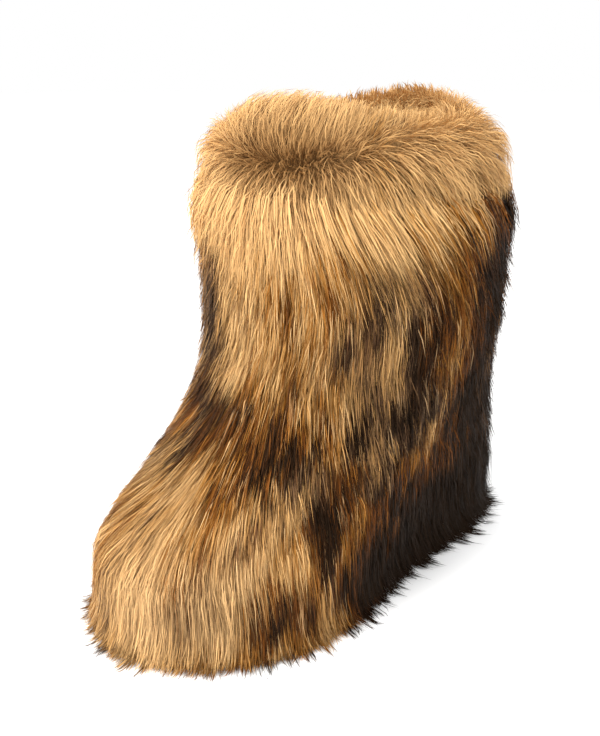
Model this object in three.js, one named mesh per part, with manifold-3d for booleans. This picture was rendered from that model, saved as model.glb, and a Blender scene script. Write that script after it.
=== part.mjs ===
// A left mukluk boot in deep fur, standing on its own sole: an outsole with a raised rim and lugs, an insole,
// a hollow upper, and three fur pieces whose locks hang in overlapping tiers: collar, shaft and vamp.
// Millimetres. +Z is up, the toe points to -Y, the outer side of the foot is +X.
// The origin is on the floor, in the middle of the heel's tread.
import * as THREE from 'three';
import { mergeVertices } from 'three/addons/utils/BufferGeometryUtils.js';
import Module from 'manifold-3d';

const wasm = await Module();
wasm.setup();

// The sole
const soleLength = 260;
const ballWidth = 104;
const heelWidth = 76;
const heelReach = 58; // from the origin back to the end of the sole
const heelStack = 22; // floor to footbed at the heel
const foreStack = 13; // floor to footbed at the ball
const toeSpring = 8;
const archRise = 5;
const treadDepth = 3.5;
const rimWall = 3.5; // wall of the raised rim
const rimHeight = 6; // rim above the footbed
const ribDepth = 1.2; // groove round the side of the sole
const lugCount = 15;
const lugShare = 0.6; // share of the pitch that is lug
const lugSweep = 9; // how far a lug's middle lies ahead of its ends
const treadInset = 5; // lugs end this far inside the sole's edge

// The upper
const shaftHeight = 264; // floor to the upper's top edge
const instepHeight = 134; // floor to the bend between foot and leg
const shaftDepth = 122; // front to back
const shaftWidth = 110;
const shaftSetback = 24; // the shaft's back stands this far ahead of the sole's back
const saddle = 6; // front and back of the top edge above its sides
const wall = 3; // backing and lining together
const toeTurn = 9; // the toe leans this far to the inner side
const archCut = 8; // the inner waist is this much narrower
const outerCut = 3; // the outer waist

// The insole
const insoleThickness = 4.5;
const insoleClearance = 0.6;

// The fur
const pile = 42; // how deep the fur stands at the shaft
const innerPile = 16; // at the inside of the collar
const crestRise = 43; // the fur's crest above the upper's top edge
const floorClearance = 1.6; // the lowest tips above the floor
const gap = 0.3; // between pieces that touch
const skirtGap = 0.8; // between the fur and the sole's rim
// Locks hang in tiers, and each number here is a row place of the sections where a tier starts.
const bodyTiers = [11.1, 10.2, 9.15, 8.0, 6.7, 5.3, 3.9, 2.5, 1.1];
const collarTiers = [14, 13.1, 12.1, 11.05];
const bodyRoot = 0.8; // how deep the body's locks go back at their ends, as a share of the pile
const collarRoot = 0.84;
const bandShare = 0.75; // how far the body's inside reaches up the last section under the collar's band
// A lock's shoulder, tip and tuck as shares of its tier's height, and its rises as shares of the pile
const lock = {
  ridgeShoulder: 0.4,
  valleyShoulder: 0.5,
  ridgeRise: 0.08,
  ridgeLuck: 0.03,
  valleyRise: 0.01,
  valleyDepth: 0.03,
  tipDrop: 0.15,
  tipLuck: 0.3,
  tipDepth: 0.96,
  tipDepthLuck: 0.07,
  valleyEnd: 0.12,
  tuck: 0.28,
};
// Rows over the collar's top edge: how far out, of the pile, and how high, of crestRise
const crestRows = [[0.1, 1], [0.48, 0.93], [0.82, 0.64], [0.98, 0.22]];
const tuft = { drop: 0.04, luck: 0.08 };
// The lowest rows of the body: row place, and how far out the valleys and the ridges stand, of the pile
const hem = { place: 0.6, low: 0.9, luck: 0.05, valley: 0.9, ridge: 0.98 };

const columns = 48; // points round a section; a lock takes two of them
const seamHeight = 118; // top of the vamp's seam at the instep
const seamFoot = -112; // where the vamp's seam meets the sole
const seamTop = -104; // where it bends back to the instep

const toeTip = heelReach - soleLength;
const soleInset = rimWall + gap;
const shaftBack = heelReach - shaftSetback;
const shaftFront = shaftBack - shaftDepth;

// Sections of the upper from its lower edge to its top edge, and of the fur outside each of them, as shares.
// instep, shaft: height, of instepHeight and of what the shaft adds. follow: how much of the footbed's curve.
// toe: 1 at the toe, 0 at the shaft's front. heel: 1 at the sole's heel, 0 at the shaft's back.
// foot: 1 for the sole's widths, 0 for the shaft's. slim: width factor. crown: share of the saddle.
// front, back, side, lift: how far the fur stands out there, of pile.
const sections = [
  { instep: 0.000, shaft: 0.0, follow: 1.0, toe: 1.000, heel: 1.00, foot: 1.00, slim: 1.00, crown: 0.0,
    front: 0.92, back: 1.02, side: 0.70, lift: 0.00 },
  { instep: 0.060, shaft: 0.0, follow: 1.0, toe: 1.000, heel: 1.00, foot: 1.00, slim: 1.00, crown: 0.0,
    front: 0.95, back: 1.07, side: 0.70, lift: 0.00 },
  { instep: 0.145, shaft: 0.0, follow: 0.8, toe: 1.008, heel: 1.02, foot: 1.00, slim: 1.03, crown: 0.0,
    front: 0.91, back: 1.14, side: 0.73, lift: 0.20 },
  { instep: 0.260, shaft: 0.0, follow: 0.6, toe: 0.980, heel: 0.98, foot: 1.00, slim: 1.02, crown: 0.0,
    front: 0.66, back: 1.06, side: 0.77, lift: 0.34 },
  { instep: 0.365, shaft: 0.0, follow: 0.4, toe: 0.895, heel: 0.88, foot: 0.97, slim: 0.97, crown: 0.0,
    front: 0.48, back: 1.00, side: 0.84, lift: 0.40 },
  { instep: 0.460, shaft: 0.0, follow: 0.25, toe: 0.765, heel: 0.78, foot: 0.90, slim: 0.92, crown: 0.0,
    front: 0.42, back: 0.93, side: 0.91, lift: 0.46 },
  { instep: 0.545, shaft: 0.0, follow: 0.15, toe: 0.600, heel: 0.66, foot: 0.82, slim: 0.88, crown: 0.0,
    front: 0.46, back: 0.89, side: 0.98, lift: 0.54 },
  { instep: 0.635, shaft: 0.0, follow: 0.08, toe: 0.420, heel: 0.52, foot: 0.70, slim: 0.85, crown: 0.0,
    front: 0.60, back: 0.88, side: 1.04, lift: 0.61 },
  { instep: 0.735, shaft: 0.0, follow: 0.0, toe: 0.255, heel: 0.38, foot: 0.52, slim: 0.83, crown: 0.0,
    front: 0.80, back: 0.89, side: 1.09, lift: 0.67 },
  { instep: 0.855, shaft: 0.0, follow: 0.0, toe: 0.120, heel: 0.22, foot: 0.30, slim: 0.82, crown: 0.0,
    front: 0.99, back: 0.93, side: 1.14, lift: 0.69 },
  { instep: 1.000, shaft: 0.0, follow: 0.0, toe: 0.030, heel: 0.08, foot: 0.10, slim: 0.84, crown: 0.0,
    front: 1.09, back: 0.99, side: 1.16, lift: 0.66 },
  { instep: 1.000, shaft: 0.19, follow: 0.0, toe: 0.000, heel: 0.00, foot: 0.00, slim: 0.89, crown: 0.1,
    front: 1.18, back: 1.02, side: 1.14, lift: 0.61 },
  { instep: 1.000, shaft: 0.44, follow: 0.0, toe: 0.000, heel: 0.00, foot: 0.00, slim: 0.945, crown: 0.3,
    front: 1.23, back: 1.03, side: 1.10, lift: 0.52 },
  { instep: 1.000, shaft: 0.71, follow: 0.0, toe: 0.000, heel: 0.00, foot: 0.00, slim: 0.98, crown: 0.6,
    front: 1.26, back: 1.03, side: 1.08, lift: 0.36 },
  { instep: 1.000, shaft: 1.0, follow: 0.0, toe: 0.000, heel: 0.00, foot: 0.00, slim: 1.00, crown: 1.0,
    front: 1.24, back: 1.02, side: 1.06, lift: 0.14 },
];
const topRow = sections.length - 1;
const collarRow = topRow - 2; // the collar's band is sewn on from here up
const tuckRow = topRow - 1; // and inside down to here

const lerp = (a, b, t) => a + (b - a) * t;
const clamp = (x, a, b) => Math.min(Math.max(x, a), b);
const smooth = (t) => t * t * (3 - 2 * t);
const bump = (x, middle, reach) => Math.exp(-(((x - middle) / reach) ** 2));

// A repeatable number from 0 to 1 for a lock.
function chance(a, b) {
  const s = Math.sin(a * 127.1 + b * 311.7) * 43758.5453;
  return s - Math.floor(s);
}

// Heights of the sole along y
const ballAt = lerp(toeTip, heelReach, 0.3);
const archAt = lerp(toeTip, heelReach, 0.56);
const breastAt = lerp(toeTip, heelReach, 0.68);
const archReach = 0.085 * soleLength;
const springShare = (y) => clamp((ballAt - y) / (ballAt - toeTip), 0, 1.1) ** 2.2;
function footbed(y) {
  const rise = smooth(clamp((y - ballAt) / (breastAt - ballAt), 0, 1));
  return lerp(foreStack, heelStack, rise) + toeSpring * springShare(y);
}
function underside(y) {
  const arch = bump(y, archAt, archReach) - 0.02;
  return Math.max(0, archRise * arch) + toeSpring * springShare(y);
}

// A closed loop shaped like a foot or a leg. The first point is at the toe, and the outer side comes first.
// shape: { front, back, ball, heel (half widths), foot } and heightOf(y, angle).
function loopOf(shape, heightOf) {
  const half = (shape.back - shape.front) / 2;
  const capToe = Math.min(half, 1.15 * shape.ball);
  const capHeel = Math.min(half, 1.12 * shape.heel);
  const points = [];
  for (let i = 0; i < columns; i++) {
    const angle = (2 * Math.PI * i) / columns;
    const y = shape.front + half * (1 - Math.cos(angle));
    const share = (y - shape.front) / (2 * half);
    const wide = bump(share, 0.3, 0.27);
    const round = (d, cap) => Math.sqrt(Math.max(0, 1 - (1 - Math.min(d / cap, 1)) ** 2));
    const ends = round(y - shape.front, capToe) * round(shape.back - y, capHeel);
    const outer = angle <= Math.PI;
    const cut = shape.foot * (outer ? outerCut : archCut) * bump(share, 0.58, 0.14);
    const width = (lerp(shape.heel, shape.ball, wide) - cut) * ends;
    const lean = -toeTurn * shape.foot * clamp(1 - share / 0.45, 0, 1) ** 1.5;
    const side = Math.abs(Math.sin(angle)) < 1e-9 ? 0 : outer ? 1 : -1;
    points.push(new THREE.Vector3(lean + side * width, y, heightOf(y, angle)));
  }
  return points;
}

// The table's columns at any place v between rows, by Catmull-Rom.
function sectionAt(v) {
  const at = clamp(v, 0, topRow);
  const i = Math.min(Math.floor(at), topRow - 1);
  const t = at - i;
  const row = (k) => sections[clamp(k, 0, topRow)];
  const found = {};
  for (const key of Object.keys(sections[0])) {
    const [a, b, c, d] = [row(i - 1)[key], row(i)[key], row(i + 1)[key], row(i + 2)[key]];
    found[key] = t === 0 ? b
      : 0.5 * (2 * b + (c - a) * t + (2 * a - 5 * b + 4 * c - d) * t * t + (3 * b - a - 3 * c + d) * t ** 3);
  }
  return found;
}

const saddleAt = (angle) => saddle * (2 * Math.cos(angle) ** 2 - 1);

function shellShape(s) {
  const ball = lerp(shaftWidth / 2, ballWidth / 2 - soleInset, s.foot) * s.slim;
  const heel = lerp(shaftWidth / 2, heelWidth / 2 - soleInset, s.foot) * s.slim;
  return {
    front: lerp(shaftFront, toeTip + soleInset, s.toe),
    back: lerp(shaftBack, heelReach - soleInset, s.heel),
    ball,
    heel,
    foot: s.foot,
  };
}

// Height of a section's point. The lowest section stands on the footbed.
function shellHeight(s, y, angle) {
  const straight = s.instep * instepHeight + s.shaft * (shaftHeight - instepHeight);
  return straight + gap + s.follow * footbed(y) + s.crown * saddleAt(angle);
}

// The upper's outer face at row place v.
const shellLoop = (v) => {
  const s = sectionAt(v);
  return loopOf(shellShape(s), (y, angle) => shellHeight(s, y, angle));
};

// The fur's outline at row place v. Its lowest section is level, just above the floor.
function furLoop(v) {
  const s = sectionAt(v);
  const shape = shellShape(s);
  const side = pile * s.side;
  const grown = {
    front: shape.front - pile * s.front,
    back: shape.back + pile * s.back,
    ball: shape.ball + side,
    heel: shape.heel + side * (1 + 0.18 * s.foot),
    foot: shape.foot,
  };
  const grounded = smooth(clamp(1 - v / 2, 0, 1));
  return loopOf(grown, (y, angle) => {
    const high = shellHeight(s, y, angle) + pile * s.lift;
    return lerp(high, floorClearance + 6 * v, grounded);
  });
}

// Outward normals of the upper's outer face at row place v.
function shellNormals(v) {
  const low = shellLoop(Math.max(v - 0.5, 0));
  const high = shellLoop(Math.min(v + 0.5, topRow));
  const here = shellLoop(v);
  return here.map((_, i) => {
    const along = here[(i + 1) % columns].clone().sub(here[(i + columns - 1) % columns]);
    return along.cross(high[i].clone().sub(low[i])).normalize();
  });
}

// The upper's face moved outward, or inward where distance is negative.
const shellOffset = (v, distance) => {
  const normals = shellNormals(v);
  return shellLoop(v).map((p, i) => p.clone().addScaledVector(normals[i], distance));
};

// A solid from rows of points round the section. closed joins the last row to the first, and otherwise
// both end rows are closed by strips from side to side. inward is for rows that run down the outside and
// up the inside.
function solidOf(rows, closed, inward = false) {
  const position = rows.flatMap((row) => row.flatMap((p) => [p.x, p.y, p.z]));
  const index = [];
  const at = (r, i) => (r % rows.length) * columns + ((i + columns) % columns);
  const quad = (a, b, c, d) => index.push(...(inward ? [a, c, b, a, d, c] : [a, b, c, a, c, d]));
  for (let r = 0; r < rows.length - (closed ? 0 : 1); r++) {
    for (let i = 0; i < columns; i++) quad(at(r, i), at(r, i + 1), at(r + 1, i + 1), at(r + 1, i));
  }
  if (!closed) {
    const last = rows.length - 1;
    for (let i = 0; i < columns / 2; i++) {
      quad(at(0, i + 1), at(0, i), at(0, -i), at(0, -i - 1));
      quad(at(last, i), at(last, i + 1), at(last, -i - 1), at(last, -i));
    }
  }
  const geometry = new THREE.BufferGeometry();
  geometry.setAttribute('position', new THREE.BufferAttribute(new Float32Array(position), 3));
  geometry.setIndex(index.filter((_, k) => {
    const t = k - (k % 3);
    return index[t] !== index[t + 1] && index[t + 1] !== index[t + 2] && index[t] !== index[t + 2];
  }));
  return manifoldOf(geometry);
}

function manifoldOf(geometry) {
  const bare = geometry.clone();
  for (const name of ['normal', 'uv']) bare.deleteAttribute(name);
  const merged = mergeVertices(bare, 1e-4);
  return new wasm.Manifold(new wasm.Mesh({
    numProp: 3,
    vertProperties: new Float32Array(merged.attributes.position.array),
    triVerts: new Uint32Array(merged.index.array),
  }));
}

function geometryOf(solid) {
  const mesh = solid.getMesh();
  const geometry = new THREE.BufferGeometry();
  geometry.setAttribute('position', new THREE.BufferAttribute(new Float32Array(mesh.vertProperties), 3));
  geometry.setIndex(new THREE.BufferAttribute(new Uint32Array(mesh.triVerts), 1));
  geometry.computeVertexNormals();
  return geometry;
}

// A loop of the sole's plan, drawn in by inset, at the heights that heightOf gives.
const soleLoop = (inset, heightOf) => loopOf({
  front: toeTip + inset,
  back: heelReach - inset,
  ball: ballWidth / 2 - inset,
  heel: heelWidth / 2 - inset,
  foot: 1,
}, heightOf);

// Swept bars across the sole, cut to its plan inside the edge.
function lugs() {
  const reach = treadDepth + 1.5;
  const volume = solidOf([
    soleLoop(treadInset, (y) => underside(y)),
    soleLoop(treadInset, (y) => underside(y) + reach),
  ], false);
  const pitch = soleLength / lugCount;
  const long = (lugShare * pitch) / 2;
  const wide = ballWidth / 2 + 1;
  const high = archRise + toeSpring + reach;
  let bars = null;
  for (let k = 0; k < lugCount; k++) {
    // One lug lies with its middle on the origin.
    const y = (k - Math.floor((lugCount * (soleLength - heelReach)) / soleLength)) * pitch + lugSweep;
    const outline = new THREE.Shape();
    outline.moveTo(-wide, y - long);
    outline.lineTo(0, y - long - lugSweep);
    outline.lineTo(wide, y - long);
    outline.lineTo(wide, y + long);
    outline.lineTo(0, y + long - lugSweep);
    outline.lineTo(-wide, y + long);
    outline.closePath();
    const bar = manifoldOf(new THREE.ExtrudeGeometry(outline, { depth: high + 2, bevelEnabled: false })
      .translate(0, 0, -1));
    bars = bars ? bars.add(bar) : bar;
  }
  return volume.intersect(bars);
}

function outsole() {
  const plate = (y) => underside(y) + treadDepth;
  const side = (share) => (y) => lerp(plate(y), footbed(y) + rimHeight, share);
  const rows = [
    soleLoop(2, plate),
    soleLoop(0, side(0.14)),
    soleLoop(0, side(0.4)),
    soleLoop(ribDepth, side(0.46)),
    soleLoop(ribDepth, side(0.6)),
    soleLoop(0, side(0.66)),
    soleLoop(0, side(1)),
    soleLoop(rimWall, (y) => footbed(y) + rimHeight),
    soleLoop(rimWall, footbed),
  ];
  return solidOf(rows, false).add(lugs());
}

function insole() {
  const inset = soleInset + wall + insoleClearance;
  return solidOf([
    soleLoop(inset, (y) => footbed(y) + gap),
    soleLoop(inset, (y) => footbed(y) + gap + insoleThickness),
  ], false);
}

function upper() {
  const rows = [];
  for (let v = 0; v <= topRow; v++) rows.push(shellLoop(v));
  for (let v = topRow; v >= 0; v--) rows.push(shellOffset(v, -wall));
  return solidOf(rows, true);
}

// A point of the fur between the upper and the fur's outline. depth: 0 at the upper, 1 at the outline.
function furRow(v, depth) {
  const inner = shellOffset(v, gap);
  return furLoop(v).map((p, i) => inner[i].clone().lerp(p, typeof depth === 'function' ? depth(i) : depth));
}

// Rows of one tier of hanging locks between row places high and low. A lock has a ridge on one column and
// a valley on the next, and odd tiers are set over by one column. root is how deep the locks go back.
function tier(high, low, root, number) {
  const span = high - low;
  const ridge = (i) => (i + number) % 2 === 0;
  const luck = (i) => chance(i, number);
  const rowOf = (placeAt, depthAt) => {
    const made = new Map();
    return Array.from({ length: columns }, (_, i) => {
      const [v, depth] = [Math.max(placeAt(i), 0), depthAt(i)];
      const key = `${v} ${depth}`;
      if (!made.has(key)) made.set(key, furRow(v, depth));
      return made.get(key)[i];
    });
  };
  return [
    rowOf(
      (i) => high - (ridge(i) ? lock.ridgeShoulder : lock.valleyShoulder) * span,
      (i) => root + (ridge(i) ? lock.ridgeRise + lock.ridgeLuck * luck(i) : lock.valleyRise),
    ),
    rowOf(
      (i) => low + span * (ridge(i) ? -lock.tipDrop - lock.tipLuck * luck(i) : lock.valleyEnd),
      (i) => (ridge(i) ? lock.tipDepth + lock.tipDepthLuck * luck(i) : root + lock.valleyDepth),
    ),
    rowOf(() => low + lock.tuck * span, () => root),
  ];
}

// The body of fur, from the collar's seam down to the floor, before the vamp is cut out of it.
function bodyFur() {
  const [below, above] = [shellOffset(collarRow - 1, gap), shellOffset(collarRow, gap)];
  const edge = below.map((p, i) => p.clone().lerp(above[i], bandShare));
  const rows = [furRow(collarRow - 0.45, 0.4), furRow(collarRow - 0.72, 0.72)];
  for (let k = 0; k < bodyTiers.length - 1; k++) {
    rows.push(...tier(bodyTiers[k], bodyTiers[k + 1], bodyRoot, k));
  }
  rows.push(furRow(hem.place, (i) => hem.low + hem.luck * chance(i, 40)));
  rows.push(furRow(0, (i) => (i % 2 ? hem.ridge : hem.valley)));
  const overRim = (y) => footbed(y) + rimHeight + skirtGap;
  rows.push(soleLoop(-skirtGap, (y) => floorClearance + underside(y)));
  rows.push(soleLoop(-skirtGap, overRim));
  rows.push(soleLoop(soleInset - gap, overRim));
  for (let v = 1; v < collarRow; v++) rows.push(shellOffset(v, gap));
  rows.push(edge);
  return solidOf(rows, true, true);
}

// The collar's fur goes up the outside, over the top edge and down inside.
function collarFur() {
  const inner = (v, distance, rise = 0) => shellOffset(v, -wall - distance)
    .map((p) => p.setZ(p.z + rise));
  const above = (out, rise) => shellOffset(topRow, out).map((p) => p.setZ(p.z + rise));
  // A row over the top edge, where every other column is a tuft
  const crest = ([share, rise], number) => furRow(topRow, share).map((p, i) => {
    const drop = (i + number) % 2 ? 0 : tuft.drop + tuft.luck * chance(i, 60 + number);
    return p.setZ(p.z + crestRise * (rise - drop));
  });
  const rows = [
    shellOffset(collarRow, gap),
    shellOffset(tuckRow, gap),
    shellOffset(topRow, gap),
    above(gap, gap),
    above(-wall - gap, gap),
    inner(tuckRow, gap),
    inner(tuckRow, 0.55 * innerPile, -5),
    inner(tuckRow + 0.35, innerPile),
    inner(topRow, innerPile, 2),
    above(-wall - 0.62 * innerPile, 0.62 * crestRise),
    ...crestRows.map(crest),
  ];
  for (let k = 0; k < collarTiers.length - 1; k++) {
    rows.push(...tier(collarTiers[k], collarTiers[k + 1], collarRoot, k));
  }
  return solidOf(rows, true, true);
}

// The block that holds the vamp: ahead of a seam that runs from the instep down and back to the sole.
function vampBlock(grow) {
  const outline = new THREE.Shape();
  const far = soleLength + 2 * pile;
  outline.moveTo(-far, -1);
  outline.lineTo(seamFoot + grow, -1);
  outline.lineTo(seamTop + grow, seamHeight * 0.55);
  outline.lineTo(shaftFront + 0.15 * shaftDepth + grow, seamHeight + grow);
  outline.lineTo(shaftFront - 0.1 * pile, seamHeight + 0.2 * pile + grow);
  outline.lineTo(-far, seamHeight + 0.75 * pile + grow);
  outline.closePath();
  const reach = ballWidth / 2 + 2 * pile;
  const block = new THREE.ExtrudeGeometry(outline, { depth: 2 * reach, bevelEnabled: false });
  // The outline's own x and y become the part's y and z.
  const turn = new THREE.Matrix4().makeBasis(
    new THREE.Vector3(0, 1, 0), new THREE.Vector3(0, 0, 1), new THREE.Vector3(1, 0, 0),
  );
  block.applyMatrix4(turn).translate(-reach, 0, 0);
  return manifoldOf(block);
}

const rubber = { color: 0x2a2522, roughness: 0.75, metalness: 0 };
const fleece = { color: 0xd8c3a0, roughness: 0.95, metalness: 0 };
const backing = { color: 0x9a7a50, roughness: 0.95, metalness: 0 };
const goldenFur = { color: 0xb98a4e, roughness: 0.8, metalness: 0 };
const darkFur = { color: 0x5a4230, roughness: 0.8, metalness: 0 };

const body = bodyFur();
const boot = new THREE.Group();
function piece(name, solid, look) {
  const mesh = new THREE.Mesh(geometryOf(solid), new THREE.MeshStandardMaterial(look));
  mesh.name = name;
  boot.add(mesh);
}

piece('outsole', outsole(), rubber);
piece('insole', insole(), fleece);
piece('upper', upper(), backing);
piece('fur_collar', collarFur(), goldenFur);
piece('fur_vamp', body.intersect(vampBlock(0)), goldenFur);
piece('fur_shaft', body.subtract(vampBlock(gap)), darkFur);

export default boot;
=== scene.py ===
"""A left mukluk boot in deep fur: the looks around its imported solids.

Metres, +Z up, toe to -Y, outer side +X. The boot's own surface functions below give every place on it from
a row place v (0 at the sole, 14 at the upper's top edge) and an angle round the section (0 at the toe, 90
degrees at the outer side, 180 at the heel). Every hair is a narrow tapered blade of its own.
"""
import math

import bpy
import numpy as np
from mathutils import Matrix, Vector


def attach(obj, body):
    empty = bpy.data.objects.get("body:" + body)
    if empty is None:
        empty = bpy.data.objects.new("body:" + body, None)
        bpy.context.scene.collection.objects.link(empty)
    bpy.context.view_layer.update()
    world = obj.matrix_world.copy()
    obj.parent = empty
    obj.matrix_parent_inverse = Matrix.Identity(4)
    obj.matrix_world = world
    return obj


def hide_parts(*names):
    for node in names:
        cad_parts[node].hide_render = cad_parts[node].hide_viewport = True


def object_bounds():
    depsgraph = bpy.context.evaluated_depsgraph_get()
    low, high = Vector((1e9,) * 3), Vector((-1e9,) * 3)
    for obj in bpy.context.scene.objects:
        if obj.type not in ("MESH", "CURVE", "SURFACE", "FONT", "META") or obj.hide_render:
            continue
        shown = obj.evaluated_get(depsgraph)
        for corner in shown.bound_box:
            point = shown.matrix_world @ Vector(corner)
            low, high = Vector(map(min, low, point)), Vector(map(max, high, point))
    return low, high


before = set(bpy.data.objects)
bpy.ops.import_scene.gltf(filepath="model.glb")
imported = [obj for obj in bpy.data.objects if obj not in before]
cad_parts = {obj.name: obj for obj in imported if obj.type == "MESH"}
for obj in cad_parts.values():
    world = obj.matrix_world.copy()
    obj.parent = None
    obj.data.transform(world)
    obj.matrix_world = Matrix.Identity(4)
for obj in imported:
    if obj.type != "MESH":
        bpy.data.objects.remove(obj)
cad_box = [list(corner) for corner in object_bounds()]

MM = 0.001
ROOT = "root"
random = np.random.default_rng(7)

# Driving sizes of the boot, in millimetres
SOLE_LENGTH, BALL_WIDTH, HEEL_WIDTH, HEEL_REACH = 260, 104, 76, 58
HEEL_STACK, FORE_STACK, TOE_SPRING = 22, 13, 8
SHAFT_HEIGHT, INSTEP_HEIGHT, SHAFT_DEPTH, SHAFT_WIDTH = 264, 134, 122, 110
SHAFT_SETBACK, SADDLE, TOE_TURN, ARCH_CUT, OUTER_CUT = 24, 6, 9, 8, 3
WALL, RIM_WALL, GAP = 3, 3.5, 0.3
PILE, INNER_PILE, CREST_RISE, FLOOR_CLEARANCE = 42, 16, 43, 1.6
INSOLE_THICKNESS, INSOLE_CLEARANCE = 4.5, 0.6

TOE_TIP = HEEL_REACH - SOLE_LENGTH
SHAFT_BACK = HEEL_REACH - SHAFT_SETBACK
SHAFT_FRONT = SHAFT_BACK - SHAFT_DEPTH
INSET = RIM_WALL + GAP
BALL_AT = TOE_TIP + 0.3 * SOLE_LENGTH
BREAST_AT = TOE_TIP + 0.68 * SOLE_LENGTH

# Sections of the upper from its lower edge to its top edge, and of the fur outside each.
# All are shares of the driving sizes.
SECTIONS = {
    "instep": (0, .06, .145, .26, .365, .46, .545, .635, .735, .855, 1, 1, 1, 1, 1),
    "shaft": (0, 0, 0, 0, 0, 0, 0, 0, 0, 0, 0, .19, .44, .71, 1),
    "follow": (1, 1, .8, .6, .4, .25, .15, .08, 0, 0, 0, 0, 0, 0, 0),
    "toe": (1, 1, 1.008, .98, .895, .765, .6, .42, .255, .12, .03, 0, 0, 0, 0),
    "heel": (1, 1, 1.02, .98, .88, .78, .66, .52, .38, .22, .08, 0, 0, 0, 0),
    "foot": (1, 1, 1, 1, .97, .9, .82, .7, .52, .3, .1, 0, 0, 0, 0),
    "slim": (1, 1, 1.03, 1.02, .97, .92, .88, .85, .83, .82, .84, .89, .945, .98, 1),
    "crown": (0, 0, 0, 0, 0, 0, 0, 0, 0, 0, 0, .1, .3, .6, 1),
    "front": (.92, .95, .91, .66, .48, .42, .46, .6, .8, .99, 1.09, 1.18, 1.23, 1.26, 1.24),
    "back": (1.02, 1.07, 1.14, 1.06, 1, .93, .89, .88, .89, .93, .99, 1.02, 1.03, 1.03, 1.02),
    "side": (.7, .7, .73, .77, .84, .91, .98, 1.04, 1.09, 1.14, 1.16, 1.14, 1.1, 1.08, 1.06),
    "lift": (0, 0, .2, .34, .4, .46, .54, .61, .67, .69, .66, .61, .52, .36, .14),
}
TOP = 14
COLLAR_LOW = 11.2  # row place where the collar's own fur starts
SEAM_FOOT, SEAM_TOP, SEAM_HEIGHT = -112, -104, 118  # the vamp's seam, in millimetres

# Grid on which the surfaces are worked out once
ANGLES, STEPS = 240, 10
TURN = 2 * math.pi


# The boot's surfaces

def smooth(t):
    t = np.clip(t, 0, 1)
    return t * t * (3 - 2 * t)


def mix(a, b, t):
    return a + (b - a) * t


def unit(vectors):
    return vectors / np.maximum(np.linalg.norm(vectors, axis=-1, keepdims=True), 1e-12)


def section_at(v):
    """The table's columns at row places v, by Catmull-Rom, as columns of numbers."""
    at = np.clip(v, 0, TOP)
    i = np.minimum(at.astype(int), TOP - 1)
    t = at - i
    found = {}
    for key, column in SECTIONS.items():
        numbers = np.array(column, float)
        a, b, c, d = (numbers[np.clip(i + k, 0, TOP)] for k in (-1, 0, 1, 2))
        cubic = 3 * b - a - 3 * c + d
        square = 2 * a - 5 * b + 4 * c - d
        found[key] = (0.5 * (2 * b + (c - a) * t + square * t ** 2 + cubic * t ** 3))[:, None]
    return found


def loop(front, back, ball, heel, foot, angle):
    """x and y of closed loops shaped like a foot or a leg, in millimetres."""
    half = (back - front) / 2
    y = front + half * (1 - np.cos(angle))
    share = (y - front) / (2 * half)

    def rounded(d, cap):
        return np.sqrt(np.maximum(0, 1 - (1 - np.minimum(d / cap, 1)) ** 2))

    ends = rounded(y - front, np.minimum(half, 1.15 * ball))
    ends = ends * rounded(back - y, np.minimum(half, 1.12 * heel))
    side = np.sign(np.round(np.sin(angle), 9))
    cut = foot * np.where(side > 0, OUTER_CUT, ARCH_CUT) * np.exp(-(((share - 0.58) / 0.14) ** 2))
    width = (heel + (ball - heel) * np.exp(-(((share - 0.3) / 0.27) ** 2)) - cut) * ends
    lean = -TOE_TURN * foot * np.clip(1 - share / 0.45, 0, 1) ** 1.5
    return lean + side * width, y


def footbed(y):
    spring = np.clip((BALL_AT - y) / (BALL_AT - TOE_TIP), 0, 1.1) ** 2.2
    return mix(FORE_STACK, HEEL_STACK, smooth((y - BALL_AT) / (BREAST_AT - BALL_AT))) + TOE_SPRING * spring


def shell_height(s, y, angle):
    straight = s["instep"] * INSTEP_HEIGHT + s["shaft"] * (SHAFT_HEIGHT - INSTEP_HEIGHT)
    return straight + GAP + s["follow"] * footbed(y) + s["crown"] * SADDLE * (2 * np.cos(angle) ** 2 - 1)


def surfaces(v, angle):
    """The upper's outer face and the fur's outline at row places v and angles, in metres."""
    s = section_at(v)
    foot = s["foot"]
    ball = mix(SHAFT_WIDTH / 2, BALL_WIDTH / 2 - INSET, foot) * s["slim"]
    heel = mix(SHAFT_WIDTH / 2, HEEL_WIDTH / 2 - INSET, foot) * s["slim"]
    front = mix(SHAFT_FRONT, TOE_TIP + INSET, s["toe"])
    back = mix(SHAFT_BACK, HEEL_REACH - INSET, s["heel"])
    x, y = loop(front, back, ball, heel, foot, angle)
    shell = np.stack([x, y, shell_height(s, y, angle)], -1)
    side = PILE * s["side"]
    x, y = loop(front - PILE * s["front"], back + PILE * s["back"], ball + side,
                heel + side * (1 + 0.18 * foot), foot, angle)
    grounded = smooth(1 - v / 2)[:, None]
    high = shell_height(s, y, angle) + PILE * s["lift"]
    fur = np.stack([x, y, mix(high, FLOOR_CLEARANCE + 6 * v[:, None], grounded)], -1)
    return shell * MM, fur * MM


ROWS_V = np.arange(0, TOP * STEPS + 1) / STEPS
ROWS_A = np.arange(ANGLES) * TURN / ANGLES
SHELL, FUR = surfaces(ROWS_V, ROWS_A)


def slope(grid):
    """Change of a grid for one row place, and for one radian."""
    along = np.gradient(grid, 1 / STEPS, axis=0)
    round_ = (np.roll(grid, -1, 1) - np.roll(grid, 1, 1)) / (2 * TURN / ANGLES)
    return along, round_


ALONG, ROUND = slope(SHELL * 0.1 + FUR * 0.9)
SCALE_V = np.linalg.norm(ALONG, axis=-1)
SCALE_A = np.maximum(np.linalg.norm(ROUND, axis=-1), 0.012)
OUTWARD = unit(np.cross(ROUND, ALONG))


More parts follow.
